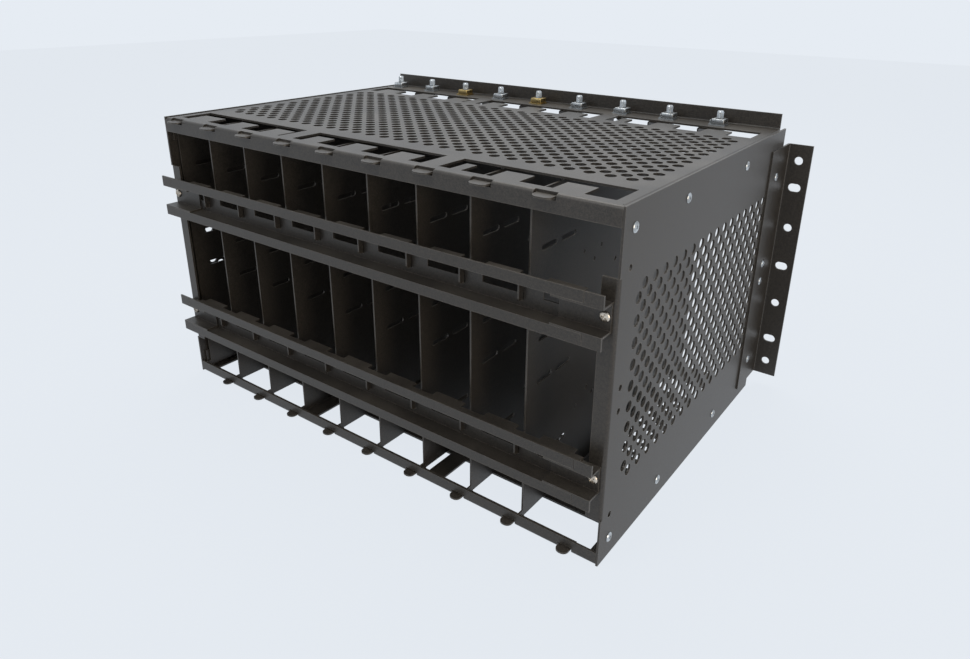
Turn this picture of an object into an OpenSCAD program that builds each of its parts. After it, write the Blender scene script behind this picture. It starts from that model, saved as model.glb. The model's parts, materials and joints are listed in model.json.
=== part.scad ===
// Subrack card cage: a folded sheet steel box, open at the front and the back, with nine
// upright dividers hooked into it, two channel rails across the front and a pair of
// nineteen inch rack ears at the back.
// Frame: +X to the right seen from the front, +Y towards the back, +Z up.
// Origin: middle of the overall box in X and Y, on the ground in Z.
// Each node is placed from the front plane of the cage, where y is 0 before the last shift.

/* [Body] */
// Width over both side panels
body_w = 440; // [430:1:446]
// Height of the side panels
body_h = 247; // [246:1:262]
// Depth of the side panels
body_d = 296; // [294:1:330]
// Thickness of the side, top and bottom sheets
sheet_t = 1.5; // [1:0.1:2]
// Inside radius of every fold in those sheets
bend_r = 1; // [0.6:0.1:1.5]
// Clearance between sheets that lie against each other
sheet_gap = 0.2; // [0.1:0.05:0.3]

/* [Side panels] */
// Width of the inward front flange
side_flange_w = 11.5; // [11:0.5:13]
// Height of the lower end of the front flange
side_flange_z = 36.5; // [32:0.5:42]
// Height of the front flange
side_flange_h = 168; // [166:0.5:170]
// Distance of the first column of round holes from the front
side_perf_y = 27; // [25:0.5:30]
// Distance of the lowest row of round holes from the bottom edge
side_perf_z = 57; // [54:0.5:60]
// Columns of round holes in one row
side_perf_cols = 16; // [10:1:16]
// Rows of round holes
side_perf_rows = 19; // [10:1:19]

/* [Top and bottom panels] */
// Distance of the top panel face below the edge of the side panels
panel_drop = 0.5; // [0.3:0.1:1]
// Height of the front lip of the top panel
front_lip_h = 12; // [11:0.5:13]
// Height of the front lip of the bottom panel
bottom_lip_h = 10.2; // [8:0.2:12]
// Height of the folded side lips
side_lip_h = 20; // [18:0.5:22]
// Height of the upstanding rear lip of the top panel
rear_lip_h = 12.5; // [8:0.5:16]
// Distance from the rear lip to the rear edge of the side panels
rear_set = 2; // [1:0.5:4]
// Width of one window
window_w = 129.5; // [126:0.5:131]
// Solid web between two windows
window_web = 15; // [14:0.5:16]
// Depth of one window
window_d = 28; // [26:0.5:29]
// Solid strip in front of the front windows
front_strip = 10; // [9.9:0.1:10.5]
// Solid strip behind the rear windows
rear_strip = 29; // [28.5:0.5:31]
// Free depth behind the comb tongues in a window
comb_clear = 10.5; // [8:0.5:12]
// Gap on the left of the first tongue in a window
comb_side_gap = 10; // [8:0.5:12]
// Narrowest gap on the right of the last tongue
comb_end_gap = 2.2; // [2:0.1:3]
// Distance from the middle of the panel to the first comb opening
comb_start = 172.4; // [170:0.1:174]
// Pitch of the comb openings
comb_pitch = 45.1; // [44.8:0.1:45.4]
// Width of one comb opening
comb_open_w = 24; // [22:0.5:25]
// Comb openings in the row
comb_count = 9; // [9:1:9]

/* [Round holes] */
// Diameter of the ventilation holes
perf_d = 8; // [5:0.5:8.5]
// Distance between neighbouring rows, half the pitch along a row
perf_step = 7.5; // [7.3:0.1:7.6]
// Distance from the front to the first row in the top panel
perf_front = 58; // [54:0.5:60]
// Rows of holes in the top panel
perf_rows = 23; // [15:1:23]
// Holes in the longer rows of the top panel
perf_cols = 28; // [20:1:28]

/* [Dividers] */
// Pitch of the nine card slots
slot_pitch = 46.3; // [46.3:0.1:47]
// Distance from the side sheet to the first divider
first_set = 2.1; // [2:0.1:3.5]
// Thickness of the divider sheet
divider_t = 1.2; // [1:0.1:1.3]
// Inside radius of the divider folds
divider_r = 0.8; // [0.6:0.1:1]
// Distance of the divider edge behind the front plane
divider_set = 7.5; // [7:0.5:8]
// Width of the divider top and bottom flanges
divider_flange_w = 12; // [8:0.5:16]
// Width of a top hook tab
tab_w = 14; // [12:0.5:14]
// Width of a bottom hook tab
bottom_tab_w = 9.4; // [8:0.2:9.8]
// Reach of a hook tab in front of the panel lip
tab_reach = 6; // [4:0.5:8]
// Middle of the top hook tab, from the divider
top_tab_x = 14; // [11:0.5:16]
// Middle of the bottom hook tab, from the divider
bottom_tab_x = 40.2; // [36:0.2:40.4]
// Depth of the open corner above the divider at the back
rear_notch_h = 20; // [14:0.5:26]
// Length of a slot in the divider
face_slot_l = 19; // [14:0.5:20]
// Height of a slot in the divider
face_slot_h = 4; // [3:0.5:5]
// Diameter of the small holes in the divider
face_hole_d = 3.6; // [2.5:0.1:4]

/* [Front rails] */
// Height of the middle of the lower rail
lower_rail_z = 67.8; // [66:0.2:70]
// Height of the middle of the upper rail
upper_rail_z = 180.5; // [179:0.5:182]
// Height of the rail channel between its flanges
rail_channel_h = 19.6; // [19:0.2:21]
// Height of the front lips
rail_lip_h = 7.5; // [5:0.5:9]
// Distance of the lips in front of the cage
rail_reach = 12; // [10:0.5:14]
// Thickness of the rail sheet
rail_t = 1.2; // [1:0.1:1.4]
// Length of each rail
rail_l = 408; // [404:1:410]
// Length over the end brackets
rail_total_l = 434; // [432:0.5:435]
// Length of the bracket that lies inside the rail
bracket_inner_l = 22; // [14:1:24]
// Height of the windows in the rail web
rail_window_h = 11; // [8:0.5:11]
// Depth of the tab folded back above each rail window
rail_tab_d = 5.5; // [3:0.5:5.5]

/* [Rack ears] */
// Width of an ear flange beyond the side panel
ear_flange_w = 21.3; // [20:0.1:22]
// Height of an ear
ear_h = 221.45; // [220:0.05:222.25]
// Height of the lower end of an ear
ear_z = 11; // [8:0.5:14]
// Thickness of the ear sheet
ear_t = 1.5; // [1.5:0.1:2.5]
// Distance of the ear flange behind the side panel
ear_behind = 15; // [12:0.5:18]
// Length of the ear web
ear_web_l = 47; // [44:0.5:50]
// Distance of the mounting holes from the outer edge of the ear
ear_hole_edge = 10.3; // [8.8:0.1:10.8]
// Diameter of the round mounting holes
ear_hole_d = 7.1; // [6:0.1:7.5]
// Length of the mounting slots
ear_slot_l = 10.6; // [9:0.1:11]
// Distance from the middle slot to the outer slots
ear_slot_pitch = 73.025; // [72:0.025:74]
// Distance from the middle to the inner round holes
ear_round_1 = 36.5; // [34:0.1:40]
// Distance from the middle to the outer round holes
ear_round_2 = 96.8; // [94:0.1:98]

/* [Fasteners] */
// Diameter of the blind rivet bodies
rivet_d = 4; // [3:0.1:4.8]
// Diameter of the rivet heads
rivet_head_d = 7; // [6:0.1:8]
// Height of the rivet heads
rivet_head_h = 1.1; // [0.8:0.1:1.6]
// Clearance round rivets and screws
fastener_gap = 0.15; // [0.1:0.05:0.3]
// Distance of the rivet rows from the top and bottom edges
rivet_z = 15; // [14:0.5:16]
// Distance of the first rivet from the front
rivet_y1 = 14; // [12:0.5:16]
// Distance of the second rivet from the front
rivet_y2 = 90.5; // [85:0.5:95]
// Distance of the third rivet from the front
rivet_y3 = 203.5; // [198:0.5:209]
// Distance from the middle of the ear to its outer rivets
ear_rivet_outer = 86.5; // [84:0.5:88]
// Distance from the middle of the ear to its inner rivets
ear_rivet_inner = 8.3; // [7.5:0.1:10]
// Diameter of the rear stud screws
stud_d = 6; // [5:0.1:6]
// Middle of a rear stud, from its divider
stud_x = 14.5; // [12:0.5:16]
// Distance of a stud behind the edge of the rear window
stud_back = 14; // [11:0.5:16]
// Height of a stud above its nut
stud_stand = 6.5; // [4:0.5:9]
// Width of a square nut
nut_w = 11; // [9:0.5:12]
// Height of a square nut
nut_h = 4.6; // [3.5:0.1:6]
// Thickness of the spring plate under a nut
nut_plate_t = 0.9; // [0.6:0.1:1.2]
// Diameter of the rail end screws
rail_screw_d = 4; // [3.5:0.1:4.5]
// Diameter of the rail end screw heads
rail_screw_head_d = 7; // [6.4:0.1:9]

/* [Hidden] */

$fn = 32;
coat = [0.16, 0.15, 0.14];
zinc = [0.75, 0.77, 0.78];
yellow_zinc = [0.72, 0.62, 0.36];
steel_screw = [0.78, 0.74, 0.68];

slot_count = 9;
fold_r = bend_r + sheet_t;
divider_fold_r = divider_r + divider_t;

// Side sheets and the panels between them
side_x = body_w / 2;
panel_x = side_x - sheet_t - sheet_gap;
top_z = body_h - panel_drop;
rear_y = body_d - rear_set;
field_x = panel_x - fold_r;
side_lip_y0 = fold_r + 2;
side_lip_y1 = rear_y - 4;

// Windows
window_pitch = window_w + window_web;
front_window_y = front_strip;
rear_window_y = rear_y - rear_strip - window_d;
window_end_y = rear_window_y + window_d;

// Dividers
divider_x0 = -side_x + sheet_t + first_set;
divider_top = top_z - sheet_t - sheet_gap;
divider_bottom = sheet_t + sheet_gap;
divider_front_arm = front_window_y - 0.5;
divider_main_y0 = front_window_y + window_d + 4;
divider_main_y1 = rear_window_y - 4;
divider_rear_arm = window_end_y + 1;
divider_end = rear_y - 5;
slot_margin = 1;
tab_corner = 5;

// Rails, with the end brackets lying inside them against the side flanges
rail_gap = 0.1;
bracket_web_y = -rail_t;
rail_web_y = rail_gap;
rail_lip_y = -rail_reach;
rail_window_top = rail_channel_h / 2;
hook_y = -4.5;
hook_gap = 0.5;
bracket_x0 = rail_total_l / 2;
bracket_x1 = rail_l / 2 + 0.3;
bracket_x2 = rail_l / 2 - bracket_inner_l;
rail_screw_x = side_x - side_flange_w / 2 - 1.5;

// Ears
ear_outer_x = side_x + ear_flange_w;
ear_hole_x = ear_outer_x - ear_hole_edge;
ear_rear = body_d + ear_behind;
ear_mid = ear_z + ear_h / 2;
ear_rivet_y = body_d - 14;
ear_fold_r = bend_r + ear_t;
front_hole_y = 12;

// Studs
stud_y = window_end_y + stud_back;
stud_head_h = 3;
stud_head_d = 10;

// Overall box in Y, used to put the origin in its middle
min_y = rail_lip_y;
shift_y = -(min_y + ear_rear) / 2;

function divider_x(i) = divider_x0 + i * slot_pitch;
function comb_x(i) = -comb_start + i * comb_pitch;
function ear_rivet_list() = [-ear_rivet_outer, -ear_rivet_inner, ear_rivet_inner, ear_rivet_outer];
function tab_slot(comb) = (comb ? tab_w : bottom_tab_w) + 2 * slot_margin;
function rivet_list() = [rivet_y1, rivet_y2, rivet_y3];
function tab_centres(offset) = [for (i = [0 : slot_count - 1]) divider_x(i) + offset];

module placed() { translate([0, shift_y, 0]) children(); }

// A profile drawn in (y, z), drawn out along X
module along_x(x0, x1) { translate([x0, 0, 0]) rotate([90, 0, 90]) linear_extrude(x1 - x0) children(); }

// A profile drawn in (x, z), drawn out along Y
module along_y(y0, y1) { translate([0, y1, 0]) rotate([90, 0, 0]) linear_extrude(y1 - y0) children(); }

// A profile drawn in (x, y), drawn out along Z
module along_z(z0, z1) { translate([0, 0, z0]) linear_extrude(z1 - z0) children(); }

// A rectangle from one corner to the other
module area(x0, y0, x1, y1) { translate([x0, y0]) square([x1 - x0, y1 - y0]); }

// Quarter of a fold seen end on, its centre at the origin, turned by the angle
module fold(inner, outer, angle) {
    rotate(angle) intersection() {
        difference() {
            circle(outer);
            circle(inner);
        }
        square(outer + 1);
    }
}

// A slot with round ends lying along the first axis
module slot_2d(length, height) {
    union() {
        translate([-(length - height) / 2, 0]) circle(d = height);
        translate([(length - height) / 2, 0]) circle(d = height);
        square([length - height, height], center = true);
    }
}

// Staggered field of round holes: even rows have one hole less than odd rows
module perf_field(cols, rows) {
    for (row = [0 : rows - 1]) {
        short = 1 - row % 2;
        for (col = [0 : cols - 1 - short]) {
            translate([(2 * col + short) * perf_step, row * perf_step]) circle(d = perf_d);
        }
    }
}

// ---- Side panels -------------------------------------------------------------------

module side_outline() {
    difference() {
        area(0, 0, body_d, body_h);
        area(-1, side_flange_z, fold_r, side_flange_z + side_flange_h);
        translate([side_perf_y, side_perf_z]) side_perforation();
        for (y = rivet_list(), z = [rivet_z, body_h - rivet_z]) {
            translate([y, z]) circle(d = rivet_d + 2 * fastener_gap);
        }
        for (dz = ear_rivet_list()) {
            translate([ear_rivet_y, ear_mid + dz]) circle(d = rivet_d + 2 * fastener_gap);
            translate([front_hole_y, ear_mid + dz]) circle(d = rivet_d + 2 * fastener_gap);
        }
    }
}

// Rows along the depth, every second row moved back by one step
module side_perforation() {
    for (row = [0 : side_perf_rows - 1], col = [0 : side_perf_cols - 1]) {
        shift = 1 - (row + side_perf_rows) % 2;
        translate([(2 * col + 1 - shift) * perf_step, row * perf_step]) circle(d = perf_d);
    }
}

module side_flange_face() {
    difference() {
        area(side_x - side_flange_w, side_flange_z, side_x - fold_r, side_flange_z + side_flange_h);
        for (z = [lower_rail_z, upper_rail_z]) {
            translate([rail_screw_x, z]) circle(d = rail_screw_d + 2 * fastener_gap);
        }
    }
}

module side_panel() {
    color(coat) placed() union() {
        along_x(side_x - sheet_t, side_x) side_outline();
        along_y(0, sheet_t) side_flange_face();
        along_z(side_flange_z, side_flange_z + side_flange_h)
            translate([side_x - fold_r, fold_r]) fold(bend_r, fold_r, -90);
    }
}

module right_side_panel() { side_panel(); }
module left_side_panel() { mirror([1, 0, 0]) side_panel(); }

// ---- Top and bottom panels -----------------------------------------------------------

module window_outline(k) {
    translate([k * window_pitch - window_w / 2, 0]) square([window_w, window_d]);
}

// One window with the comb tongues left standing from its front edge
module comb_window(k) {
    x0 = k * window_pitch - window_w / 2;
    x1 = x0 + window_w;
    area(x0, window_d - comb_clear, x1, window_d);
    area(x0, 0, x0 + comb_side_gap, window_d);
    area(x1 - comb_end_gap, 0, x1, window_d);
    for (i = [0 : comb_count - 1]) {
        open_0 = max(comb_x(i), x0);
        open_1 = min(comb_x(i) + comb_open_w, x1);
        if (open_1 > open_0) area(open_0, 0, open_1, window_d);
    }
}

// Flat middle of a panel, seen from above
module panel_outline(comb) {
    difference() {
        union() {
            area(-field_x, fold_r, field_x, comb ? rear_y - fold_r : rear_y);
            area(-panel_x, fold_r, panel_x, side_lip_y0 - 1);
        }
        for (k = [-1 : 1], y = [front_window_y, rear_window_y]) {
            translate([0, y]) {
                if (comb) comb_window(k);
                else window_outline(k);
            }
        }
        translate([-(perf_cols - 1) * perf_step, perf_front]) perf_field(perf_cols, perf_rows);
        if (comb) stud_holes();
        for (x = tab_centres(comb ? top_tab_x : bottom_tab_x)) {
            translate([x, fold_r]) square([tab_slot(comb), 2 * slot_margin], center = true);
        }
    }
}

module stud_holes() {
    for (i = [0 : slot_count - 1]) {
        translate([divider_x(i) + stud_x, stud_y]) circle(d = stud_d + 2 * fastener_gap);
    }
}

// Front fold of a panel, left out where the hook tabs pass
module lip_fold_runs(offset, comb) {
    half = tab_slot(comb) / 2;
    starts = concat([-panel_x], [for (x = tab_centres(offset)) x + half]);
    ends = concat([for (x = tab_centres(offset)) x - half], [panel_x]);
    for (i = [0 : slot_count]) {
        along_x(starts[i], ends[i]) children();
    }
}

// A panel as the top one stands: face up, lips down
module panel(offset, comb) {
    side_lip = top_z - side_lip_h;
    hole_z = (comb ? body_h : top_z) - rivet_z;
    union() {
        along_z(top_z - sheet_t, top_z) panel_outline(comb);
        lip_fold_runs(offset, comb) translate([fold_r, top_z - fold_r]) fold(bend_r, fold_r, 90);
        along_y(0, sheet_t) difference() {
            area(-panel_x, top_z - (comb ? front_lip_h : bottom_lip_h), panel_x, top_z - fold_r);
            for (x = tab_centres(offset)) {
                translate([x, top_z - fold_r]) square([tab_slot(comb), 3.4], center = true);
            }
        }
        for (side = [0, 1]) mirror([side, 0, 0]) {
            along_y(side_lip_y0, side_lip_y1)
                translate([field_x, top_z - fold_r]) fold(bend_r, fold_r, 0);
            along_x(panel_x - sheet_t, panel_x) difference() {
                area(side_lip_y0, side_lip, side_lip_y1, top_z - fold_r);
                for (y = rivet_list()) {
                    translate([y, hole_z]) circle(d = rivet_d + 2 * fastener_gap);
                }
            }
        }
    }
}

module top_panel() {
    color(coat) placed() union() {
        panel(top_tab_x, true);
        along_x(-field_x, field_x) {
            translate([rear_y - fold_r, top_z + bend_r]) fold(bend_r, fold_r, -90);
            area(rear_y - sheet_t, top_z + bend_r, rear_y, top_z + rear_lip_h);
        }
    }
}

module bottom_panel() {
    color(coat) placed() translate([0, 0, top_z]) mirror([0, 0, 1]) panel(bottom_tab_x, false);
}

// ---- Dividers ----------------------------------------------------------------------

module face_slots() {
    slot_y = [side_perf_y + 2.5, side_perf_y + 26.5];
    for (y = slot_y, dz = [-80, -16, 16, 80]) {
        translate([y, body_h / 2 + dz]) slot_2d(face_slot_l, face_slot_h);
    }
    small = [[76, 62], [91, 52.5], [100.5, 60.5], [120.5, 71.5], [124.5, 43]];
    for (at = small, side = [-1, 1]) {
        translate([at[0], body_h / 2 + side * at[1]]) circle(d = face_hole_d);
    }
}

// Nose that passes through the rail web and drops down in front of it
module rail_hook(z) {
    polygon([[divider_set + 1, z + 7], [hook_y, z + 7], [hook_y, z - 3.5], [hook_y + 1, z - 5],
        [rail_web_y - hook_gap, z - 5], [rail_web_y - hook_gap, z], [divider_set + 1, z]]);
}

module divider_web(hooks) {
    web_0 = divider_bottom + divider_fold_r;
    web_1 = divider_top - divider_fold_r;
    difference() {
        union() {
            area(divider_set, web_0, divider_end, web_1);
            area(fold_r, web_0, divider_set, web_0 + 5);
            area(fold_r, web_1 - 5, divider_set, web_1);
            if (hooks) {
                rail_hook(lower_rail_z);
                rail_hook(upper_rail_z);
            }
        }
        area(divider_main_y1, web_1 - rear_notch_h, divider_rear_arm, web_1 + 1);
        face_slots();
    }
}

// Top edge of a divider: fold and flange over one stretch of the depth
module divider_edge(y0, y1, width) {
    along_y(y0, y1)
        translate([divider_fold_r, divider_top - divider_fold_r]) fold(divider_r, divider_fold_r, 90);
    along_z(divider_top - divider_t, divider_top) area(divider_fold_r, y0, width, y1);
}

// Arm at the front of a flange, with the hook tab that passes through the panel lip
module tab_arm(centre, width) {
    reach = centre + width / 2;
    corner = min(tab_corner, width / 2 - 0.5);
    divider_edge(fold_r, divider_front_arm, reach);
    along_z(divider_top - divider_t, divider_top) union() {
        area(reach - width, corner - tab_reach, reach, fold_r);
        for (x = [reach - width + corner, reach - corner]) {
            translate([x, corner - tab_reach]) circle(corner);
        }
        area(reach - width + corner, -tab_reach, reach - corner, corner - tab_reach);
    }
}

module divider(index) {
    color(coat) placed() translate([divider_x(index), 0, 0]) union() {
        along_x(0, divider_t) divider_web(index > 0);
        divider_edge(divider_main_y0, divider_main_y1, divider_flange_w);
        tab_arm(top_tab_x, tab_w);
        difference() {
            divider_edge(divider_rear_arm, divider_end, stud_x + stud_d);
            translate([stud_x, stud_y, divider_top - 2 * divider_t])
                cylinder(d = stud_d + 2 * fastener_gap, h = 4 * divider_t);
        }
        translate([0, 0, divider_top + divider_bottom]) mirror([0, 0, 1]) {
            divider_edge(divider_main_y0, divider_main_y1, divider_flange_w);
            divider_edge(divider_rear_arm, divider_end, divider_flange_w);
            tab_arm(bottom_tab_x, bottom_tab_w);
        }
    }
}

module divider_1() { divider(0); }
module divider_2() { divider(1); }
module divider_3() { divider(2); }
module divider_4() { divider(3); }
module divider_5() { divider(4); }
module divider_6() { divider(5); }
module divider_7() { divider(6); }
module divider_8() { divider(7); }
module divider_9() { divider(8); }

// ---- Rails -------------------------------------------------------------------------

// Upper half of the hat section, in (y, z) about the middle of the channel
module rail_half(inset, web_y, lip) {
    flange = rail_channel_h / 2 - inset;
    union() {
        area(web_y, 0, web_y + rail_t, flange + rail_t);
        area(rail_lip_y, flange, web_y, flange + rail_t);
        if (lip) area(rail_lip_y, flange, rail_lip_y + rail_t, rail_channel_h / 2 + rail_lip_h);
    }
}

module rail_section(inset, web_y, lip) {
    rail_half(inset, web_y, lip);
    mirror([0, 1]) rail_half(inset, web_y, lip);
}

// Windows and hook slots of one rail, cut through its web
module rail_web_cuts() {
    top = rail_channel_h / 2;
    along_y(rail_web_y - 0.5, rail_web_y + rail_t + 0.5) {
        for (i = [1 : slot_count - 1]) {
            area(divider_x(i) - hook_gap, -6, divider_x(i) + divider_t + hook_gap, 8);
        }
        for (i = [0 : slot_count - 1]) {
            area(divider_x(i) + 16, top - rail_window_h, divider_x(i + 1) - 3, top);
        }
    }
}

module rail(z) {
    top = rail_channel_h / 2;
    color(coat) placed() translate([0, 0, z]) union() {
        difference() {
            along_x(-rail_l / 2, rail_l / 2) rail_section(0, rail_web_y, true);
            rail_web_cuts();
        }
        for (i = [0 : slot_count - 1]) {
            along_x(divider_x(i) + 16.5, divider_x(i + 1) - 3.5)
                area(rail_web_y + rail_t, top, rail_web_y + rail_t + rail_tab_d, top + rail_t);
        }
    }
}

module upper_rail() { rail(upper_rail_z); }
module lower_rail() { rail(lower_rail_z); }

// Short end piece: it lies inside the rail and carries the lips on past its end
module bracket(z) {
    inset = rail_t + rail_gap;
    color(coat) placed() translate([0, 0, z]) difference() {
        union() {
            along_x(bracket_x2, bracket_x1) rail_section(inset, bracket_web_y, false);
            along_x(bracket_x1, bracket_x0) rail_section(inset, bracket_web_y, true);
        }
        translate([rail_screw_x, bracket_web_y - 1, 0]) rotate([-90, 0, 0])
            cylinder(d = rail_screw_d + 2 * fastener_gap, h = rail_t + 2);
    }
}

module upper_right_bracket() { bracket(upper_rail_z); }
module lower_right_bracket() { bracket(lower_rail_z); }
module upper_left_bracket() { mirror([1, 0, 0]) bracket(upper_rail_z); }
module lower_left_bracket() { mirror([1, 0, 0]) bracket(lower_rail_z); }

// ---- Rack ears ---------------------------------------------------------------------

module ear_flange_face() {
    difference() {
        area(side_x + ear_fold_r, ear_z, ear_outer_x, ear_z + ear_h);
        for (dz = [-ear_slot_pitch, 0, ear_slot_pitch]) {
            translate([ear_hole_x, ear_mid + dz]) slot_2d(ear_slot_l, ear_hole_d);
        }
        for (dz = [-ear_round_2, -ear_round_1, ear_round_1, ear_round_2]) {
            translate([ear_hole_x, ear_mid + dz]) circle(d = ear_hole_d);
        }
    }
}

module ear() {
    color(coat) placed() union() {
        along_x(side_x, side_x + ear_t) difference() {
            area(ear_rear - ear_web_l, ear_z, ear_rear - ear_fold_r, ear_z + ear_h);
            for (dz = ear_rivet_list()) {
                translate([ear_rivet_y, ear_mid + dz]) circle(d = rivet_d + 2 * fastener_gap);
            }
        }
        along_z(ear_z, ear_z + ear_h)
            translate([side_x + ear_fold_r, ear_rear - ear_fold_r]) fold(bend_r, ear_fold_r, 90);
        along_y(ear_rear - ear_t, ear_rear) ear_flange_face();
    }
}

module right_ear() { ear(); }
module left_ear() { mirror([1, 0, 0]) ear(); }

// ---- Fasteners ---------------------------------------------------------------------

// Blind rivet with its head on the plane x and its body running inwards
module rivet(x, y, z, body_l) {
    translate([x, y, z]) rotate([0, 90, 0]) {
        translate([0, 0, -body_l]) cylinder(d = rivet_d, h = body_l);
        difference() {
            cylinder(d1 = rivet_head_d, d2 = rivet_head_d - 2, h = rivet_head_h);
            translate([0, 0, rivet_head_h - 0.5]) cylinder(d = rivet_d / 2, h = 1);
        }
    }
}

module side_rivets() {
    color(zinc) placed() {
        for (y = rivet_list(), z = [rivet_z, body_h - rivet_z]) {
            rivet(side_x, y, z, 2 * sheet_t + sheet_gap);
        }
    }
}

module ear_rivets() {
    color(zinc) placed() {
        for (dz = ear_rivet_list()) {
            rivet(side_x + ear_t, ear_rivet_y, ear_mid + dz, ear_t + sheet_t);
        }
    }
}

module right_side_rivets() { side_rivets(); }
module left_side_rivets() { mirror([1, 0, 0]) side_rivets(); }
module right_ear_rivets() { ear_rivets(); }
module left_ear_rivets() { mirror([1, 0, 0]) ear_rivets(); }

// Cross recess screw through a bracket and the side flange
module rail_screw(x, z) {
    translate([x, bracket_web_y, z]) rotate([90, 0, 0]) {
        translate([0, 0, -(rail_t + sheet_t + 2.5)]) cylinder(d = rail_screw_d, h = rail_t + sheet_t + 2.5);
        difference() {
            cylinder(d1 = rail_screw_head_d, d2 = rail_screw_head_d - 2.6, h = 1.8);
            for (angle = [45, 135]) {
                translate([0, 0, 1.8]) rotate(angle) cube([4.4, 1, 2], center = true);
            }
        }
    }
}

module rail_end_screws() {
    color(steel_screw) placed() {
        for (x = [-rail_screw_x, rail_screw_x], z = [lower_rail_z, upper_rail_z]) {
            rail_screw(x, z);
        }
    }
}

module stud_screws() {
    under = divider_top - divider_t;
    top = top_z + nut_plate_t + nut_h + stud_stand;
    color(zinc) placed() {
        for (i = [0 : slot_count - 1]) {
            translate([divider_x(i) + stud_x, stud_y, 0]) {
                translate([0, 0, under - stud_head_h]) cylinder(d = stud_head_d, h = stud_head_h);
                translate([0, 0, under]) cylinder(d = stud_d, h = top - under - 1);
                translate([0, 0, top - 1]) cylinder(d1 = stud_d, d2 = stud_d - 1.6, h = 1);
            }
        }
    }
}

// Square nut on its spring plate
module stud_nut(i) {
    bore = stud_d + 2 * fastener_gap;
    translate([divider_x(i) + stud_x, stud_y, top_z]) difference() {
        union() {
            translate([-nut_w / 2 - 2.5, -nut_w / 2, 0]) cube([nut_w + 3.5, nut_w, nut_plate_t]);
            translate([-nut_w / 2, -nut_w / 2, nut_plate_t]) cube([nut_w, nut_w, nut_h]);
        }
        translate([0, 0, -1]) cylinder(d = bore, h = nut_plate_t + nut_h + 2);
    }
}

function yellow_nut(i) = i == 2 || i == 4;

module zinc_stud_nuts() {
    color(zinc) placed() for (i = [0 : slot_count - 1]) if (!yellow_nut(i)) stud_nut(i);
}

module yellow_stud_nuts() {
    color(yellow_zinc) placed() for (i = [0 : slot_count - 1]) if (yellow_nut(i)) stud_nut(i);
}

left_side_panel();
right_side_panel();
top_panel();
bottom_panel();
divider_1();
divider_2();
divider_3();
divider_4();
divider_5();
divider_6();
divider_7();
divider_8();
divider_9();
upper_rail();
lower_rail();
upper_left_bracket();
upper_right_bracket();
lower_left_bracket();
lower_right_bracket();
left_ear();
right_ear();
left_side_rivets();
right_side_rivets();
left_ear_rivets();
right_ear_rivets();
rail_end_screws();
stud_screws();
zinc_stud_nuts();
yellow_stud_nuts();
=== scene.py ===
"""Dresses the subrack card cage: coat, plated metal, turned fasteners, light and camera."""

from __future__ import annotations

import json
import logging
import math
from dataclasses import dataclass, field
from enum import Enum
from typing import Any, Sequence

import bmesh
import bpy
from mathutils import Euler, Matrix, Vector

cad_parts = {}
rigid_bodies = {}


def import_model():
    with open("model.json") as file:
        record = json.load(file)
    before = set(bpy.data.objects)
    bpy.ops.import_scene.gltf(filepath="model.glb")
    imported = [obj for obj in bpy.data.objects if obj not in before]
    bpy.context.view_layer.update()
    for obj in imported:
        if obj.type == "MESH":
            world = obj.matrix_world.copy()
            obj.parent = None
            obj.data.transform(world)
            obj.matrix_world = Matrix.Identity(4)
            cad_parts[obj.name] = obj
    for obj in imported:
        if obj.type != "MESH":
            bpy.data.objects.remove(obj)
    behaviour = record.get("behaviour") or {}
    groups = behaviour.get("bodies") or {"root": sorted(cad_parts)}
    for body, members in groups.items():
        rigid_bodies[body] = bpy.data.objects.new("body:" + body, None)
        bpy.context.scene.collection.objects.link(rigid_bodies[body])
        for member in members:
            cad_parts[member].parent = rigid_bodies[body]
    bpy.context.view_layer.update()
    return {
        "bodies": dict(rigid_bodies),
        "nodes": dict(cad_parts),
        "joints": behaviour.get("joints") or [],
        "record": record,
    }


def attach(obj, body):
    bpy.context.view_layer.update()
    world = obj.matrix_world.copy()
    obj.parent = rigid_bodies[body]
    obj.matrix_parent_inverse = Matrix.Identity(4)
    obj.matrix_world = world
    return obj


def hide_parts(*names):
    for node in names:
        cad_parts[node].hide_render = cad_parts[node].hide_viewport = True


LOG = logging.getLogger("card_cage")
MM = 0.001
BODY = "root"

Colour = tuple[float, float, float, float]


class Slot(Enum):
    """Material slots of the record."""

    COAT = "black_coat"
    ZINC = "bright_zinc"
    YELLOW = "yellow_zinc"
    STEEL = "screw_steel"


# ---- Node helpers -----------------------------------------------------------------------


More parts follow.
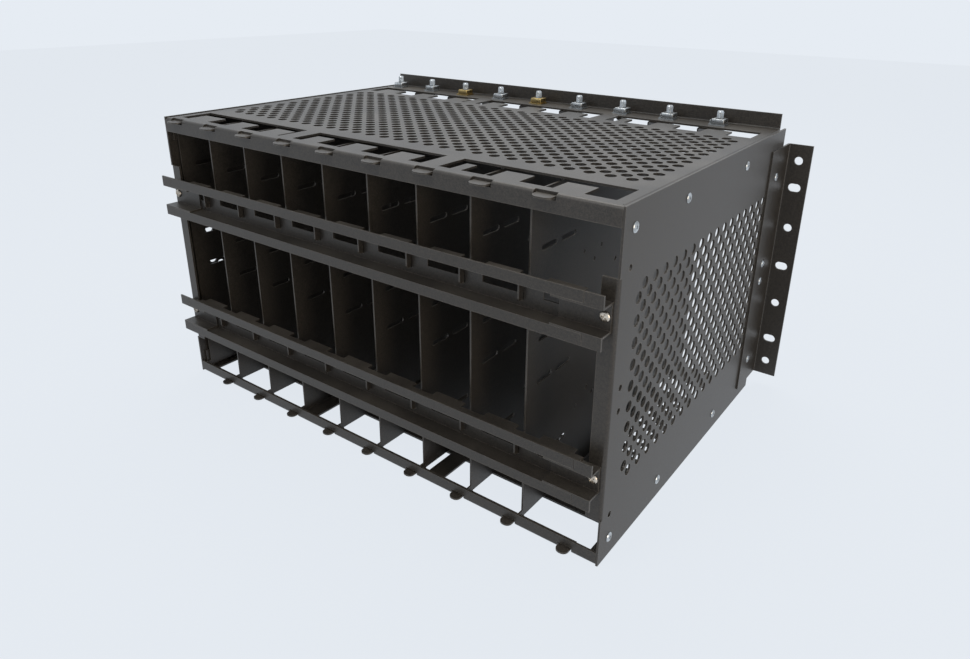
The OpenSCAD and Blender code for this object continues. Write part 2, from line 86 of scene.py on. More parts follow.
@dataclass
class NodeSheet:
    """A node tree with short ways to add and join nodes.

    Args:
        tree: The node tree that is filled.
    """

    tree: bpy.types.NodeTree

    def add(self, kind: str, **values: Any) -> bpy.types.Node:
        """Adds a node.

        Args:
            kind: Node type name.
            values: Attributes set on the node.

        Returns:
            The new node.
        """
        node = self.tree.nodes.new(kind)
        for name, value in values.items():
            setattr(node, name, value)
        return node

    def join(self, source: bpy.types.NodeSocket, target: bpy.types.NodeSocket) -> None:
        """Links two sockets."""
        self.tree.links.new(source, target)

    def feed(self, target: bpy.types.NodeSocket, value: Any) -> None:
        """Links a socket to the target, or sets a plain value on it."""
        if isinstance(value, bpy.types.NodeSocket):
            self.join(value, target)
        else:
            target.default_value = value

    def maths(self, operation: str, first: Any, second: Any = 0.0,
              clamp: bool = False) -> bpy.types.NodeSocket:
        """Adds a Math node.

        Args:
            operation: Name of the operation.
            first: First value or socket.
            second: Second value or socket.
            clamp: Keeps the result between 0 and 1.

        Returns:
            The result socket.
        """
        node = self.add("ShaderNodeMath", operation=operation, use_clamp=clamp)
        self.feed(node.inputs[0], first)
        self.feed(node.inputs[1], second)
        return node.outputs[0]

    def noise(self, place: bpy.types.NodeSocket, scale: Any, detail: float = 3.0) -> bpy.types.NodeSocket:
        """Adds a Noise Texture and returns its value socket."""
        node = self.add("ShaderNodeTexNoise")
        self.join(place, node.inputs["Vector"])
        self.feed(node.inputs["Scale"], scale)
        node.inputs["Detail"].default_value = detail
        return node.outputs["Fac"]

    def spread(self, value: bpy.types.NodeSocket, low: float, high: float,
               to_low: float = 0.0, to_high: float = 1.0) -> bpy.types.NodeSocket:
        """Maps a value from one range to another, held inside it."""
        node = self.add("ShaderNodeMapRange")
        self.join(value, node.inputs["Value"])
        limits = {"From Min": low, "From Max": high, "To Min": to_low, "To Max": to_high}
        for name, number in limits.items():
            node.inputs[name].default_value = number
        return node.outputs["Result"]

    def blend(self, amount: Any, first: Any, second: Any) -> bpy.types.NodeSocket:
        """Mixes two colours and returns the colour socket."""
        node = self.add("ShaderNodeMix", data_type="RGBA")
        self.feed(node.inputs[0], amount)
        self.feed(node.inputs[6], first)
        self.feed(node.inputs[7], second)
        return node.outputs[2]


def new_group(name: str, inputs: Sequence[tuple[str, str, Any]],
              outputs: Sequence[tuple[str, str]]) -> tuple[NodeSheet, bpy.types.Node, bpy.types.Node]:
    """Makes an empty shader node group with named sockets.

    Args:
        name: Group name.
        inputs: Socket name, socket type and default value of each input.
        outputs: Socket name and socket type of each output.

    Returns:
        The group's sheet, its input node and its output node.
    """
    tree = bpy.data.node_groups.new(name, "ShaderNodeTree")
    for label, kind, default in inputs:
        socket = tree.interface.new_socket(name=label, in_out="INPUT", socket_type=kind)
        socket.default_value = default
    for label, kind in outputs:
        tree.interface.new_socket(name=label, in_out="OUTPUT", socket_type=kind)
    sheet = NodeSheet(tree)
    return sheet, sheet.add("NodeGroupInput"), sheet.add("NodeGroupOutput")


@dataclass
class Effects:
    """Node groups that more than one finish uses."""

    grain: bpy.types.NodeTree = field(init=False)
    wear_and_highlight: bpy.types.NodeTree = field(init=False)
    dust: bpy.types.NodeTree = field(init=False)

    def __post_init__(self) -> None:
        """Builds the groups once."""
        self.grain = self._grain()
        self.wear_and_highlight = self._wear_and_highlight()
        self.dust = self._dust()

    def _grain(self) -> bpy.types.NodeTree:
        """Fine orange-peel texture of a sprayed coat.

        Returns:
            A group that puts out a height and a tone mask.
        """
        sheet, source, sink = new_group(
            "coat_grain",
            [("Fine Scale", "NodeSocketFloat", 1500.0), ("Coarse Scale", "NodeSocketFloat", 420.0)],
            [("Height", "NodeSocketFloat"), ("Tone", "NodeSocketFloat")],
        )
        place = sheet.add("ShaderNodeTexCoord").outputs["Object"]
        fine = sheet.noise(place, source.outputs["Fine Scale"], 2.0)
        coarse = sheet.noise(place, source.outputs["Coarse Scale"], 3.0)
        height = sheet.maths("ADD", sheet.maths("MULTIPLY", fine, 0.6),
                             sheet.maths("MULTIPLY", coarse, 0.4))
        sheet.join(height, sink.inputs["Height"])
        sheet.join(sheet.spread(height, 0.38, 0.66), sink.inputs["Tone"])
        return sheet.tree

    def _wear_and_highlight(self) -> bpy.types.NodeTree:
        """Rubbed edges and painted edge highlight, found where a rounded normal leaves the true one.

        Returns:
            A group that puts out a mask.
        """
        sheet, source, sink = new_group(
            "edge_wear_and_highlight",
            [("Radius", "NodeSocketFloat", 0.0006), ("Strength", "NodeSocketFloat", 2.5)],
            [("Mask", "NodeSocketFloat")],
        )
        bevel = sheet.add("ShaderNodeBevel", samples=4)
        sheet.join(source.outputs["Radius"], bevel.inputs["Radius"])
        facing = sheet.add("ShaderNodeVectorMath", operation="DOT_PRODUCT")
        sheet.join(bevel.outputs["Normal"], facing.inputs[0])
        sheet.join(sheet.add("ShaderNodeNewGeometry").outputs["Normal"], facing.inputs[1])
        turned = sheet.maths("SUBTRACT", 1.0, facing.outputs["Value"])
        place = sheet.add("ShaderNodeTexCoord").outputs["Object"]
        patch = sheet.spread(sheet.noise(place, 160.0, 4.0), 0.35, 0.65, 0.35, 1.0)
        strong = sheet.maths("MULTIPLY", turned, source.outputs["Strength"])
        # Edge mask: marks rubbed coat and a painted highlight along sharp edges.
        sheet.join(sheet.maths("MULTIPLY", strong, patch, True), sink.inputs["Mask"])
        return sheet.tree

    def _dust(self) -> bpy.types.NodeTree:
        """Light dust that settles on what faces up, with a few specks.

        Returns:
            A group that puts out a mask.
        """
        sheet, source, sink = new_group(
            "settled_dust",
            [("Amount", "NodeSocketFloat", 0.3), ("Speck Scale", "NodeSocketFloat", 260.0)],
            [("Mask", "NodeSocketFloat")],
        )
        place = sheet.add("ShaderNodeTexCoord").outputs["Object"]
        axes = sheet.add("ShaderNodeSeparateXYZ")
        sheet.join(sheet.add("ShaderNodeNewGeometry").outputs["Normal"], axes.inputs[0])
        upward = sheet.spread(axes.outputs["Z"], 0.2, 1.0)
        cloud = sheet.spread(sheet.noise(place, 22.0, 4.0), 0.4, 0.75)
        grains = sheet.add("ShaderNodeTexVoronoi", feature="F1")
        sheet.join(place, grains.inputs["Vector"])
        sheet.join(source.outputs["Speck Scale"], grains.inputs["Scale"])
        specks = sheet.spread(grains.outputs["Distance"], 0.1, 0.05)
        both = sheet.maths("ADD", sheet.maths("MULTIPLY", upward, cloud),
                           sheet.maths("MULTIPLY", specks, 0.2))
        sheet.join(sheet.maths("MULTIPLY", both, source.outputs["Amount"], True), sink.inputs["Mask"])
        return sheet.tree

    def place(self, sheet: NodeSheet, group: bpy.types.NodeTree, **values: float) -> bpy.types.Node:
        """Puts a group into a material with its own values.

        Args:
            sheet: The material's sheet.
            group: The group.
            values: Input values, with underscores for spaces.

        Returns:
            The group node.
        """
        node = sheet.add("ShaderNodeGroup", node_tree=group)
        for name, value in values.items():
            node.inputs[name.replace("_", " ").title()].default_value = value
        return node


# ---- Finishes ---------------------------------------------------------------------------


@dataclass(frozen=True)
class PowderCoat:
    """Fine textured black powder coat on folded sheet."""

    name: str = "black_powder_coat"
    base: Colour = (0.0155, 0.0135, 0.0112, 1.0)
    light_tone: Colour = (0.047, 0.0405, 0.033, 1.0)
    # Much lighter colour at sharp edges: rubbed coat and a painted edge highlight.
    rubbed_and_highlight_tone: Colour = (0.16, 0.145, 0.125, 1.0)
    dust_tone: Colour = (0.2, 0.18, 0.15, 1.0)
    roughness: float = 0.42
    rubbed_roughness: float = 0.27
    grain_depth: float = 0.0001
    bump_strength: float = 0.8
    roughness_spread: float = 0.05
    fine_scale: float = 1500.0
    coarse_scale: float = 620.0
    wear_and_highlight_radius: float = 0.0008
    wear_and_highlight_strength: float = 2.6
    dust_amount: float = 0.22
    speck_scale: float = 170.0

    def make(self, effects: Effects) -> bpy.types.Material:
        """Builds the material.

        Args:
            effects: The shared node groups.

        Returns:
            The material.
        """
        material = bpy.data.materials.new(self.name)
        material.use_nodes = True
        sheet = NodeSheet(material.node_tree)
        shader = material.node_tree.nodes["Principled BSDF"]
        grain = effects.place(sheet, effects.grain,
                              fine_scale=self.fine_scale, coarse_scale=self.coarse_scale)
        wear_and_highlight = effects.place(sheet, effects.wear_and_highlight,
                             radius=self.wear_and_highlight_radius, strength=self.wear_and_highlight_strength)
        dust = effects.place(sheet, effects.dust,
                             amount=self.dust_amount, speck_scale=self.speck_scale)
        toned = sheet.blend(grain.outputs["Tone"], self.base, self.light_tone)
        # Sharp edges are blended to the lighter tone: rubbed coat and a painted edge highlight.
        rubbed_and_highlight_tone = sheet.blend(wear_and_highlight.outputs["Mask"], toned, self.rubbed_and_highlight_tone)
        sheet.join(sheet.blend(dust.outputs["Mask"], rubbed_and_highlight_tone, self.dust_tone), shader.inputs["Base Color"])
        worn = sheet.spread(wear_and_highlight.outputs["Mask"], 0.0, 1.0, self.roughness, self.rubbed_roughness)
        uneven = sheet.spread(grain.outputs["Tone"], 0.0, 1.0,
                              -self.roughness_spread, self.roughness_spread)
        sheet.join(sheet.maths("ADD", worn, uneven), shader.inputs["Roughness"])
        bump = sheet.add("ShaderNodeBump")
        bump.inputs["Strength"].default_value = self.bump_strength
        bump.inputs["Distance"].default_value = self.grain_depth
        sheet.join(grain.outputs["Height"], bump.inputs["Height"])
        sheet.join(bump.outputs["Normal"], shader.inputs["Normal"])
        return material


@dataclass(frozen=True)
class PlatedMetal:
    """Zinc-plated or plain bright metal with cloudy plating, and rubbed edges with a painted highlight."""

    name: str
    base: Colour
    cloud_tone: Colour
    roughness: float = 0.28
    cloud_scale: float = 260.0
    smoother: float = 0.06
    rougher: float = 0.12
    wear_and_highlight_radius: float = 0.0003
    wear_and_highlight_strength: float = 1.6
    # Gain for the brighter colour at edges: rubbed plating and a painted edge highlight.
    rub_and_highlight_gain: float = 1.12
    fine_scale: float = 3200.0
    coarse_scale: float = 900.0
    bump_strength: float = 0.25
    bump_depth: float = 0.00003

    def make(self, effects: Effects) -> bpy.types.Material:
        """Builds the material.

        Args:
            effects: The shared node groups.

        Returns:
            The material.
        """
        material = bpy.data.materials.new(self.name)
        material.use_nodes = True
        sheet = NodeSheet(material.node_tree)
        shader = material.node_tree.nodes["Principled BSDF"]
        shader.inputs["Metallic"].default_value = 1.0
        place = sheet.add("ShaderNodeTexCoord").outputs["Object"]
        cloud = sheet.spread(sheet.noise(place, self.cloud_scale, 4.0), 0.35, 0.68)
        wear_and_highlight = effects.place(sheet, effects.wear_and_highlight,
                             radius=self.wear_and_highlight_radius, strength=self.wear_and_highlight_strength)
        toned = sheet.blend(cloud, self.base, self.cloud_tone)
        # Brighter base at edges: rubbed plating and a painted edge highlight.
        bright: Colour = tuple(min(1.0, self.rub_and_highlight_gain * part) for part in self.base[:3]) + (1.0,)
        sheet.join(sheet.blend(wear_and_highlight.outputs["Mask"], toned, bright), shader.inputs["Base Color"])
        sheet.join(sheet.spread(cloud, 0.0, 1.0, self.roughness - self.smoother,
                                self.roughness + self.rougher),
                   shader.inputs["Roughness"])
        grain = effects.place(sheet, effects.grain,
                              fine_scale=self.fine_scale, coarse_scale=self.coarse_scale)
        bump = sheet.add("ShaderNodeBump")
        bump.inputs["Strength"].default_value = self.bump_strength
        bump.inputs["Distance"].default_value = self.bump_depth
        sheet.join(grain.outputs["Height"], bump.inputs["Height"])
        sheet.join(bump.outputs["Normal"], shader.inputs["Normal"])
        return material


@dataclass
class Finishes:
    """Every finish of the cage, one for each slot of the record."""

    effects: Effects = field(default_factory=Effects)
    by_slot: dict[str, bpy.types.Material] = field(init=False)

    def __post_init__(self) -> None:
        """Builds the materials."""
        makers = {
            Slot.COAT: PowderCoat(),
            Slot.ZINC: PlatedMetal("bright_zinc_plate", (0.6, 0.63, 0.65, 1.0), (0.3, 0.31, 0.31, 1.0)),
            Slot.YELLOW: PlatedMetal("yellow_zinc_plate", (0.62, 0.47, 0.2, 1.0), (0.34, 0.25, 0.11, 1.0)),
            Slot.STEEL: PlatedMetal("bright_steel", (0.64, 0.58, 0.5, 1.0), (0.4, 0.36, 0.31, 1.0), 0.3),
        }
        self.by_slot = {slot.value: maker.make(self.effects) for slot, maker in makers.items()}

    def dress_nodes(self, frame: dict[str, Any]) -> None:
        """Gives each CAD node the finish of its slot.
        """
        for entry in frame["record"]["subparts"]:
            node = frame["nodes"][entry["node"]]
            self.dress(node, Slot(entry["material_slot"]))
            LOG.info("dressed %s in %s", node.name, entry["material_slot"])

    def dress(self, piece: bpy.types.Object, slot: Slot) -> None:
        """Replaces all material slots of a piece with one finish."""
        piece.data.materials.clear()
        piece.data.materials.append(self.by_slot[slot.value])


# ---- Turned fasteners -------------------------------------------------------------------

Ring = tuple[float, float]

# Rise between two rings where a turned piece steps straight out or in
STEP = 0.01 * MM


def clear_selection() -> None:
    """Leaves edit mode and deselects everything."""
    if bpy.context.mode != "OBJECT":
        bpy.ops.object.mode_set(mode="OBJECT")
    bpy.ops.object.select_all(action="DESELECT")


def make_active(piece: bpy.types.Object) -> None:
    """Selects one piece alone and makes it the active one."""
    clear_selection()
    piece.select_set(True)
    bpy.context.view_layer.objects.active = piece


def turned(name: str, rings: Sequence[Ring], sides: int) -> bpy.types.Object:
    """Builds a round piece upwards from its lowest ring, by extruding and scaling.

    Args:
        name: Name of the piece.
        rings: Radius and height of each ring in metres, from the lowest up.
        sides: Sides of the round.

    Returns:
        The closed piece, its axis along Z.
    """
    clear_selection()
    radius, height = rings[0]
    bpy.ops.mesh.primitive_circle_add(
        vertices=sides, radius=radius, fill_type="NGON", location=(0, 0, height))
    piece = bpy.context.active_object
    piece.name = name
    bpy.ops.object.transform_apply(location=True, rotation=True, scale=True)
    bpy.ops.object.mode_set(mode="EDIT")
    bpy.ops.mesh.select_all(action="SELECT")
    for next_radius, next_height in rings[1:]:
        bpy.ops.mesh.extrude_region_move(
            TRANSFORM_OT_translate={"value": (0, 0, next_height - height)})
        ratio = next_radius / radius
        bpy.ops.transform.resize(value=(ratio, ratio, 1.0), center_override=(0, 0, next_height))
        radius, height = next_radius, next_height
    bpy.ops.mesh.select_all(action="SELECT")
    bpy.ops.mesh.normals_make_consistent(inside=False)
    bpy.ops.object.mode_set(mode="OBJECT")
    bpy.ops.object.shade_smooth_by_angle(angle=math.radians(32.0))
    return piece


def placed_copy(model: bpy.types.Object, name: str, matrix: Matrix) -> bpy.types.Object:
    """Copies a model with a mesh of its own and moves that mesh into place.

    Args:
        model: The piece that is copied.
        name: Name of the copy.
        matrix: Place and turn of the copy.

    Returns:
        The copy, its object at the origin.
    """
    make_active(model)
    bpy.ops.object.duplicate(linked=False)
    copy = bpy.context.active_object
    copy.name = name
    copy.data.transform(matrix)
    copy.data.update()
    return copy


def joined(pieces: Sequence[bpy.types.Object], name: str) -> bpy.types.Object:
    """Joins pieces into one object under a new name."""
    make_active(pieces[0])
    for piece in pieces:
        piece.select_set(True)
    bpy.ops.object.join()
    whole = bpy.context.active_object
    whole.name = name
    whole.data.name = name
    return whole


def subtract(piece: bpy.types.Object, cutter: bpy.types.Object) -> None:
    """Cuts one piece by another, which is then removed.

    Args:
        piece: The piece that is cut, active afterwards.
        cutter: The closed piece taken away from it.
    """
    make_active(piece)
    cut = piece.modifiers.new("cut", "BOOLEAN")
    cut.operation = "DIFFERENCE"
    cut.solver = "EXACT"
    cut.object = cutter
    bpy.ops.object.modifier_apply(modifier=cut.name)
    bpy.data.objects.remove(cutter)
    make_active(piece)


def solid_boxes(node: bpy.types.Object) -> list[tuple[Vector, Vector]]:
    """Finds the box of each separate solid in a CAD node.

    Args:
        node: The CAD node.

    Returns:
        Lowest and highest corner of each solid, sorted by place.
    """
    mesh = bmesh.new()
    mesh.from_mesh(node.data)
    bmesh.ops.remove_doubles(mesh, verts=mesh.verts, dist=1e-6)
    boxes: list[tuple[Vector, Vector]] = []
    unseen = set(mesh.verts)
    while unseen:
        group = [unseen.pop()]
        points = []
        while group:
            vertex = group.pop()
            points.append(vertex.co.copy())
            for edge in vertex.link_edges:
                other = edge.other_vert(vertex)
                if other in unseen:
                    unseen.remove(other)
                    group.append(other)
        boxes.append((Vector(map(min, *points)), Vector(map(max, *points))))
    mesh.free()
    return sorted(boxes, key=lambda pair: tuple(round(part, 6) for part in pair[0]))


@dataclass
class StudScrews:
    """Threaded stud screws that clamp the dividers along the rear strip."""

    finishes: Finishes
    frame: dict[str, Any]
    pitch: float = 0.8 * MM
    depth: float = 0.32 * MM
    head_radius: float = 5.0 * MM
    head_height: float = 3.0 * MM
    head_chamfer: float = 0.5 * MM
    thread_radius: float = 3.0 * MM
    plain_length: float = 3.2 * MM
    tip_length: float = 0.9 * MM
    tip_chamfer: float = 0.7 * MM
    turn_step: float = 0.7
    sides: int = 20

    def rings(self, radius: float, low: float, high: float) -> list[Ring]:
        """Outline of one screw.

        Args:
            radius: Outside radius of the thread.
            low: Height of the underside of the head.
            high: Height of the tip.

        Returns:
            The rings from the head up.
        """
        shank = low + self.head_height
        thread_start = shank + self.plain_length
        rings: list[Ring] = [(self.head_radius - self.head_chamfer, low),
                             (self.head_radius, low + self.head_chamfer), (self.head_radius, shank),
                             (radius, shank + STEP), (radius, thread_start)]
        height = thread_start
        while height + self.pitch < high - self.tip_length:
            rings += [(radius - self.depth, height + 0.5 * self.pitch), (radius, height + self.pitch)]
            height += self.pitch
        rings += [(radius - self.depth, height + 0.4 * self.pitch), (radius - self.tip_chamfer, high)]
        return rings

    def build(self) -> bpy.types.Object:
        """Builds all the studs as one piece in place of the plain ones.

        Returns:
            The piece.
        """
        boxes = solid_boxes(self.frame["nodes"]["stud_screws"])
        low, high = boxes[0][0].z, boxes[0][1].z
        model = turned("stud_model", self.rings(self.thread_radius, low, high), self.sides)
        copies = []
        for number, (corner, far) in enumerate(boxes, start=1):
            middle = (corner + far) / 2
            turn = Matrix.Rotation(self.turn_step * number, 4, "Z")
            copies.append(placed_copy(model, f"stud_{number}",
                                      Matrix.Translation((middle.x, middle.y, 0)) @ turn))
        bpy.data.objects.remove(model)
        whole = joined(copies, "threaded_studs")
        self.finishes.dress(whole, Slot.ZINC)
        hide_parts("stud_screws")
        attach(whole, BODY)
        LOG.info("built %s: %d studs", whole.name, len(boxes))
        return whole


@dataclass
class BlindRivets:
    """Domed blind rivets with an open mandrel hole, on the sides and the ears."""

    finishes: Finishes
    frame: dict[str, Any]
    nodes: tuple[str, ...] = ("left_side_rivets", "right_side_rivets",
                              "left_ear_rivets", "right_ear_rivets")
    body_radius: float = 2.0 * MM
    dome_inner: float = 1.25 * MM
    rim_height: float = 0.25 * MM
    head_height: float = 1.1 * MM
    turn_step: float = 0.9
    sides: int = 24

    def rings(self, length: float, head_radius: float, head_height: float) -> list[Ring]:
        """Outline of one rivet along its axis, from the blind end out.

        Args:
            length: Length of the body.
            head_radius: Radius of the head.
            head_height: Height of the dome.

        Returns:
            The rings.
        """
        rings: list[Ring] = [(self.body_radius, -length), (self.body_radius, 0.0),
                             (head_radius, STEP), (head_radius, self.rim_height)]
        for share in (0.35, 0.6, 0.8, 0.93):
            angle = share * math.pi / 2
            rings.append((self.dome_inner + (head_radius - self.dome_inner) * math.cos(angle),
                          self.rim_height + (head_height - self.rim_height) * math.sin(angle)))
        rings += [(1.3 * MM, head_height), (1.05 * MM, head_height - 0.12 * MM),
                  (1.0 * MM, head_height - 0.75 * MM), (0.5 * MM, head_height - 0.6 * MM)]
        return rings

    def build(self) -> list[bpy.types.Object]:
        """Builds one piece for each group of rivets.

        Returns:
            The pieces.
        """
        pieces = []
        for node_name in self.nodes:
            boxes = solid_boxes(self.frame["nodes"][node_name])
            side = 1.0 if boxes[0][0].x > 0 else -1.0
            corner, far = boxes[0]
            reach = far.x - corner.x
            head_radius = (far.z - corner.z) / 2
            outline = self.rings(reach - self.head_height, head_radius, self.head_height)
            model = turned("rivet_model", outline, self.sides)
            copies = []
            for number, (low, high) in enumerate(boxes, start=1):
                seat = (high.x if side > 0 else low.x) - side * self.head_height
                middle = (low + high) / 2
                spin = Matrix.Rotation(self.turn_step * number, 4, "Z")
                turn = Matrix.Rotation(side * math.pi / 2, 4, "Y") @ spin
                copies.append(placed_copy(model, f"{node_name}_{number}",
                                          Matrix.Translation((seat, middle.y, middle.z)) @ turn))
            bpy.data.objects.remove(model)
            whole = joined(copies, "domed_" + node_name)
            self.finishes.dress(whole, Slot.ZINC)
            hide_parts(node_name)
            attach(whole, BODY)
            LOG.info("built %s: %d rivets", whole.name, len(boxes))
            pieces.append(whole)
        return pieces


@dataclass
class StudNuts:
    """Square nuts with eased corners, each on its spring plate with a folded ear."""

    finishes: Finishes
    frame: dict[str, Any]
    plate: float = 0.9 * MM
    bore_radius: float = 3.15 * MM
    nut_inset: float = 1.0 * MM
    nut_bevel: float = 0.6 * MM
    drill_length: float = 20.0 * MM
    drill_sides: int = 24
    ear_width_share: float = 0.5
    ear_thickness: float = 0.9 * MM
    ear_height: float = 2.9 * MM
    ear_inset: float = 0.5 * MM
    ear_middle: float = 1.4 * MM
    ear_bevel: float = 0.25 * MM

    def nut(self, low: Vector, high: Vector, name: str) -> bpy.types.Object:
        """Builds one nut inside the box of its solid.

        Args:
            low: Lowest corner of the solid.
            high: Highest corner of the solid.
            name: Name of the piece.

        Returns:
            The nut.
        """
        clear_selection()
        width = high.y - low.y
        body_low = low.z + self.plate
        left = high.x - width - self.nut_inset
        middle = Vector((left + width / 2, (low.y + high.y) / 2, (body_low + high.z) / 2))
        bpy.ops.mesh.primitive_cube_add(size=1.0, location=middle)
        piece = bpy.context.active_object
        piece.name = name
        piece.scale = (width, width, high.z - body_low)
        bpy.ops.object.transform_apply(location=True, rotation=True, scale=True)
        bpy.ops.object.mode_set(mode="EDIT")
        bpy.ops.mesh.select_all(action="SELECT")
        bpy.ops.mesh.bevel(offset=self.nut_bevel, segments=3, affect="EDGES")
        bpy.ops.object.mode_set(mode="OBJECT")
        self.bore(piece, middle)
        bpy.ops.object.shade_smooth_by_angle(angle=math.radians(35.0))
        return piece

    def bore(self, piece: bpy.types.Object, middle: Vector) -> None:
        """Cuts the bore through a nut or plate.

        Args:
            piece: The piece that is cut.
            middle: A point on the bore's axis.
        """
        clear_selection()
        bpy.ops.mesh.primitive_cylinder_add(
            vertices=self.drill_sides, radius=self.bore_radius, depth=self.drill_length, location=middle)
        drill = bpy.context.active_object
        subtract(piece, drill)

    def spring_plate(self, low: Vector, high: Vector, name: str) -> bpy.types.Object:
        """Builds the sheet plate under a nut, its left end folded up against the nut.

        Args:
            low: Lowest corner of the solid.
            high: Highest corner of the solid.
            name: Name of the piece.

        Returns:
            The plate.
        """
        clear_selection()
        width = high.y - low.y
        top = low.z + self.plate
        middle = Vector(((low.x + high.x) / 2, (low.y + high.y) / 2, (low.z + top) / 2))
        bpy.ops.mesh.primitive_cube_add(size=1.0, location=middle)
        piece = bpy.context.active_object
        piece.name = name
        piece.scale = (high.x - low.x, width, self.plate)
        bpy.ops.object.transform_apply(location=True, rotation=True, scale=True)
        axis = Vector((high.x - width / 2 - self.nut_inset, middle.y, middle.z))
        self.bore(piece, axis)
        ear_width = self.ear_width_share * width
        bpy.ops.mesh.primitive_cube_add(
            size=1.0, location=(low.x + self.ear_inset, middle.y, top + self.ear_middle))
        ear = bpy.context.active_object
        ear.name = name + "_ear"
        ear.scale = (self.ear_thickness, ear_width, self.ear_height)
        bpy.ops.object.transform_apply(location=True, rotation=True, scale=True)
        bpy.ops.object.mode_set(mode="EDIT")
        bpy.ops.mesh.select_all(action="SELECT")
        bpy.ops.mesh.bevel(offset=self.ear_bevel, segments=2, affect="EDGES")
        bpy.ops.object.mode_set(mode="OBJECT")
        return joined([piece, ear], name)

    def build(self) -> list[bpy.types.Object]:
        """Builds the zinc and the yellow nuts.

        Returns:
            The two pieces.
        """
        pieces = []
        for node_name, slot in (("zinc_stud_nuts", Slot.ZINC), ("yellow_stud_nuts", Slot.YELLOW)):
            parts = []
            for number, (low, high) in enumerate(solid_boxes(self.frame["nodes"][node_name]), start=1):
                parts.append(self.nut(low, high, f"{node_name}_{number}"))
                parts.append(self.spring_plate(low, high, f"{node_name}_plate_{number}"))
            whole = joined(parts, "square_" + node_name)
            self.finishes.dress(whole, slot)
            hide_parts(node_name)
            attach(whole, BODY)
            LOG.info("built %s", whole.name)
            pieces.append(whole)
        return pieces


@dataclass
class RailEndScrews:
    """Cross recess screws with low rounded heads, in the ends of the rails."""

    finishes: Finishes
    frame: dict[str, Any]
    shank_radius: float = 2.0 * MM
    head_height: float = 1.8 * MM
    recess_length: float = 4.4 * MM
    recess_width: float = 1.0 * MM
    recess_depth: float = 1.1 * MM
    recess_bevel: float = 0.12 * MM
    tip_chamfer: float = 0.5 * MM
    rim_height: float = 0.45 * MM
    flat_radius: float = 0.4 * MM
    turn_step: float = 0.5
    sides: int = 32

    def rings(self, length: float, head_radius: float) -> list[Ring]:
        """Outline of one screw along its axis, from its tip to the head.

        Args:
            length: Length of the shank.
            head_radius: Radius of the head.

        Returns:
            The rings.
        """
        rings: list[Ring] = [(self.shank_radius - self.tip_chamfer, -length),
                             (self.shank_radius, self.tip_chamfer - length), (self.shank_radius, 0.0),
                             (head_radius, STEP), (head_radius, self.rim_height)]
        for share in (0.3, 0.5, 0.68, 0.82, 0.93):
            angle = share * math.pi / 2
            dome = (self.head_height - self.rim_height) * math.sin(angle)
            rings.append((head_radius * math.cos(angle), self.rim_height + dome))
        rings.append((self.flat_radius, self.head_height))
        return rings

    def cut_recess(self, screw: bpy.types.Object) -> None:
        """Cuts the cross recess into a screw head.

        Args:
            screw: The screw, its head up.
        """
        for angle in (math.radians(45.0), math.radians(135.0)):
            clear_selection()
            bpy.ops.mesh.primitive_cube_add(size=1.0, location=(0, 0, self.head_height))
            blade = bpy.context.active_object
            blade.scale = (self.recess_length, self.recess_width, 2 * self.recess_depth)
            blade.rotation_euler = (0, 0, angle)
            bpy.ops.object.transform_apply(location=True, rotation=True, scale=True)
            bpy.ops.object.mode_set(mode="EDIT")
            bpy.ops.mesh.select_all(action="SELECT")
            bpy.ops.mesh.bevel(offset=self.recess_bevel, segments=2, affect="EDGES")
            bpy.ops.object.mode_set(mode="OBJECT")
            subtract(screw, blade)

    def build(self) -> bpy.types.Object:
        """Builds the screws as one piece in place of the plain ones.

        Returns:
            The piece.
        """
        boxes = solid_boxes(self.frame["nodes"]["rail_end_screws"])
        low, high = boxes[0]
        length = high.y - low.y - self.head_height
        model = turned("screw_model", self.rings(length, (high.x - low.x) / 2), self.sides)
        self.cut_recess(model)
        make_active(model)
        bpy.ops.object.shade_smooth_by_angle(angle=math.radians(32.0))
        copies = []
        for number, (corner, far) in enumerate(boxes, start=1):
            middle = (corner + far) / 2
            spin = Matrix.Rotation(self.turn_step * number, 4, "Z")
            turn = Matrix.Rotation(math.pi / 2, 4, "X") @ spin
            seat = (middle.x, corner.y + self.head_height, middle.z)
            copies.append(placed_copy(model, f"rail_screw_{number}", Matrix.Translation(seat) @ turn))
        bpy.data.objects.remove(model)
        whole = joined(copies, "cross_recess_screws")
        self.finishes.dress(whole, Slot.STEEL)
        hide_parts("rail_end_screws")
        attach(whole, BODY)
        LOG.info("built %s: %d screws", whole.name, len(boxes))
        return whole


# ---- Studio -----------------------------------------------------------------------------


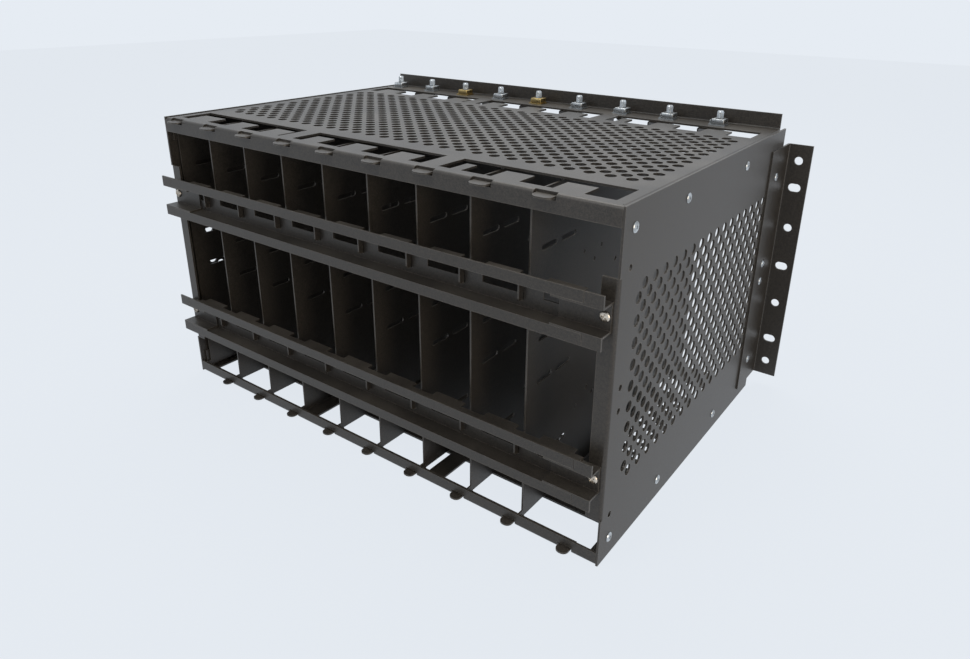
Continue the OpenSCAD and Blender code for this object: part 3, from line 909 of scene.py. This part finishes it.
@dataclass
class Studio:
    """Pale floor and world, soft lamps and the camera."""

    backdrop: Colour = (0.791, 0.838, 0.896, 1.0)
    ambient: Colour = (0.5, 0.51, 0.53, 1.0)
    front_plane: float = -149.5 * MM
    eye: tuple[float, float, float] = (385.24 * MM, -348.69 * MM, 357.63 * MM)
    pitch: float = 0.370
    yaw: float = 0.628
    roll: float = 0.016
    focal_share: float = 733.85 / 970.0
    shift: tuple[float, float] = (-11.4 / 970.0, -54.06 / 970.0)

    def paler_for_camera(self, sheet: NodeSheet) -> bpy.types.NodeSocket:
        """Mask of the rays that see the backdrop straight, in gloss or through glass."""
        path = sheet.add("ShaderNodeLightPath")
        seen = sheet.maths("MAXIMUM", path.outputs["Is Camera Ray"], path.outputs["Is Glossy Ray"])
        return sheet.maths("MAXIMUM", seen, path.outputs["Is Transmission Ray"])

    def world(self) -> None:
        """Fills the world with the backdrop colour."""
        world = bpy.data.worlds.new("pale_studio")
        world.use_nodes = True
        bpy.context.scene.world = world
        sheet = NodeSheet(world.node_tree)
        light = world.node_tree.nodes["Background"]
        tint = sheet.blend(self.paler_for_camera(sheet), self.ambient, self.backdrop)
        sheet.join(tint, light.inputs["Color"])
        light.inputs["Strength"].default_value = 1.0

    def floor(self) -> None:
        """Makes the plain floor, which keeps a soft shadow of the cage."""
        clear_selection()
        bpy.ops.mesh.primitive_plane_add(size=8.0, location=(0, 0, 0))
        floor = bpy.context.active_object
        floor.name = "studio_floor"
        bpy.ops.object.transform_apply(location=True, rotation=True, scale=True)
        material = bpy.data.materials.new("pale_floor")
        material.use_nodes = True
        sheet = NodeSheet(material.node_tree)
        shader = material.node_tree.nodes["Principled BSDF"]
        shader.inputs["Base Color"].default_value = (0.62, 0.64, 0.67, 1.0)
        shader.inputs["Roughness"].default_value = 0.9
        glow = sheet.add("ShaderNodeEmission")
        glow.inputs["Color"].default_value = self.backdrop
        mix = sheet.add("ShaderNodeMixShader")
        share = sheet.maths("MULTIPLY", self.paler_for_camera(sheet), 0.93)
        sheet.join(share, mix.inputs[0])
        sheet.join(shader.outputs[0], mix.inputs[1])
        sheet.join(glow.outputs[0], mix.inputs[2])
        sheet.join(mix.outputs[0], material.node_tree.nodes["Material Output"].inputs["Surface"])
        floor.data.materials.append(material)

    def lamp(self, name: str, place: Sequence[float], aim: Sequence[float], size: float,
             power: float, colour: tuple[float, float, float]) -> None:
        """Adds one soft area lamp.

        Args:
            name: Name of the lamp.
            place: Where it hangs, in metres.
            aim: The point it faces.
            size: Side of the square lamp.
            power: Power in watts.
            colour: Colour of the light.
        """
        data = bpy.data.lights.new(name, "AREA")
        data.shape = "SQUARE"
        data.size = size
        data.energy = power
        data.color = colour
        lamp = bpy.data.objects.new(name, data)
        bpy.context.scene.collection.objects.link(lamp)
        lamp.location = place
        lamp.rotation_euler = (Vector(aim) - Vector(place)).to_track_quat("-Z", "Y").to_euler()

    def camera(self) -> None:
        """Places the camera at the viewing angle."""
        data = bpy.data.cameras.new("main_camera")
        data.sensor_width = 36.0
        data.lens = 36.0 * self.focal_share
        data.shift_x, data.shift_y = self.shift
        data.clip_start = 0.01
        data.clip_end = 50.0
        camera = bpy.data.objects.new("main_camera", data)
        bpy.context.scene.collection.objects.link(camera)
        tilt = Euler((self.pitch, 0, 0)).to_matrix()
        turn = Euler((0, self.yaw, 0)).to_matrix()
        lean = Euler((0, 0, self.roll)).to_matrix()
        upright = Matrix(((1, 0, 0), (0, 0, -1), (0, 1, 0)))
        to_camera = tilt @ turn @ lean @ upright
        facing = to_camera.transposed() @ Matrix.Diagonal((1, -1, -1))
        place = Vector(self.eye) + Vector((0, self.front_plane, 0))
        camera.matrix_world = Matrix.Translation(place) @ facing.to_4x4()
        bpy.context.scene.camera = camera

    def build(self) -> None:
        """Sets up the whole studio."""
        self.world()
        self.floor()
        self.lamp("overhead", (-0.2, 0.55, 1.5), (0.0, 0.0, 0.2), 1.1, 14.0, (1.0, 0.96, 0.9))
        self.lamp("front_top", (-0.1, -0.75, 1.15), (0.0, -0.1, 0.2), 0.35, 3.0, (1.0, 0.98, 0.95))
        self.lamp("right_warm", (1.2, -0.45, 0.35), (0.22, -0.05, 0.05), 0.5, 4.5, (1.0, 0.84, 0.66))
        self.camera()
        bpy.context.scene.view_settings.view_transform = "Standard"
        LOG.info("studio ready")


# ---- Cage -------------------------------------------------------------------------------


@dataclass
class CardCage:
    """The whole cage: finishes on its sheets and its turned fasteners."""

    frame: dict[str, Any]

    def build(self) -> None:
        """Dresses the sheets and builds the fasteners."""
        finishes = Finishes()
        finishes.dress_nodes(self.frame)
        StudScrews(finishes, self.frame).build()
        StudNuts(finishes, self.frame).build()
        BlindRivets(finishes, self.frame).build()
        RailEndScrews(finishes, self.frame).build()


def main() -> None:
    """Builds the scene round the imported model."""
    logging.basicConfig(level=logging.INFO, format="%(message)s")
    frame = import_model()
    Studio().build()
    CardCage(frame).build()


if __name__ == "__main__":
    main()
